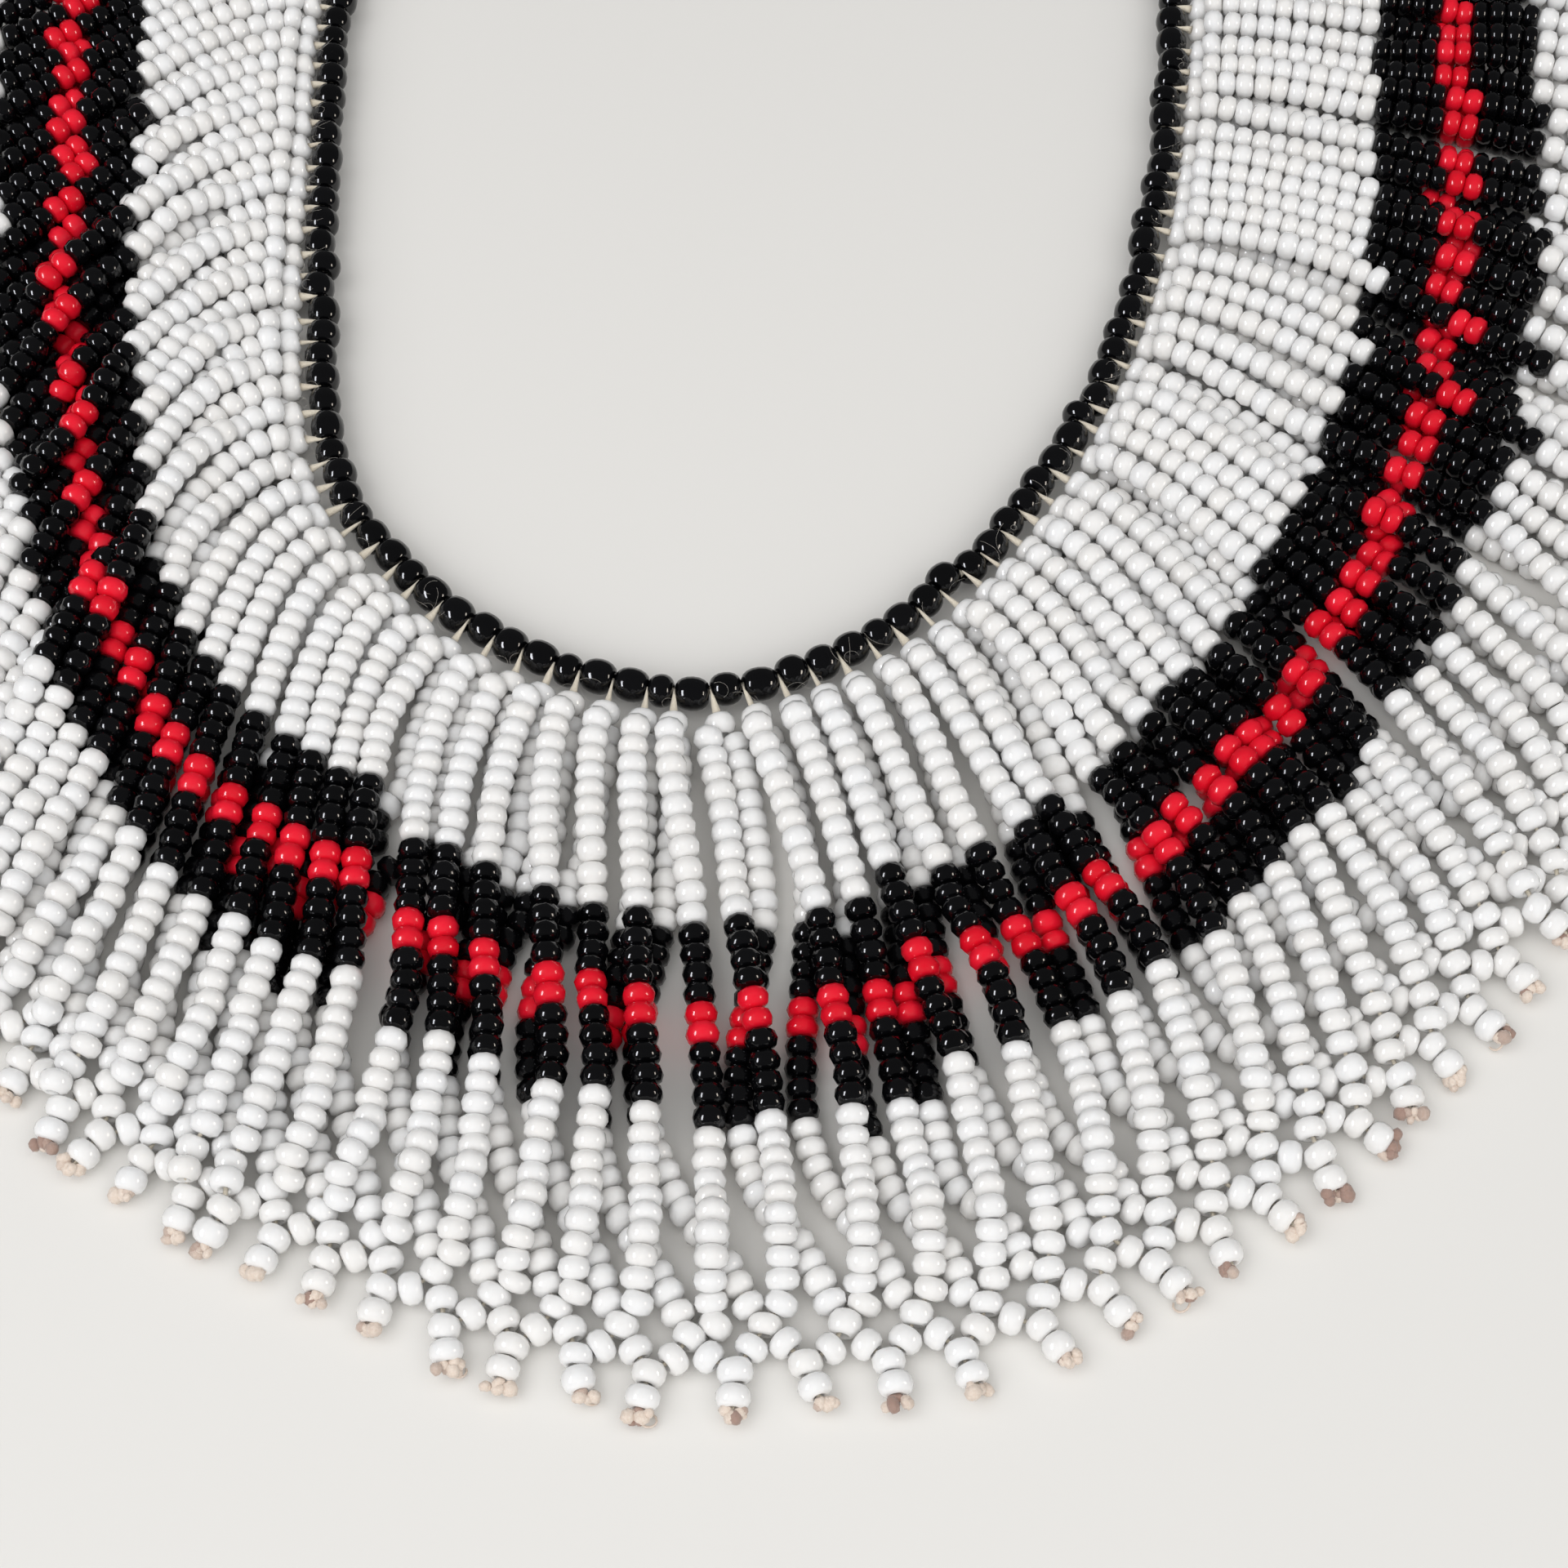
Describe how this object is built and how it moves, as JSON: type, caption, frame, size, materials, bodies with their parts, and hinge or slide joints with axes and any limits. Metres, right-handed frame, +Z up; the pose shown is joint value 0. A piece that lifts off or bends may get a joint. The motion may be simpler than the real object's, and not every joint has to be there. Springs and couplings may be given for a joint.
{
  "type": "beaded collar necklace",
  "caption": "Seed-bead fringe collar with a black neck string, white strands banded in black and red, and a netted edge, laid flat as a closed loop.",
  "frame": {"origin": "middle of the collar's plan, on the surface it lies on", "axes": "+Y from the front of the collar to its clasp, +X to the right as seen from above with the clasp at the top, +Z up"},
  "size_m": [0.2258, 0.2683, 0.006],
  "materials": {
    "cotton_thread": "matte twisted cotton",
    "black_neck_glass": "opaque glossy",
    "white_glass": "opaque glossy",
    "black_glass": "opaque glossy",
    "red_glass": "opaque glossy",
    "clasp_metal": "polished brass"
  },
  "bodies": {
    "root": {"neck_thread": "cotton_thread", "neck_beads": "black_neck_glass", "inner_white_band": "white_glass", "upper_black_band": "black_glass", "red_band": "red_glass", "lower_black_band": "black_glass", "outer_white_band": "white_glass", "net_edge": "white_glass", "clasp": "clasp_metal"}
  },
  "joints": []
}
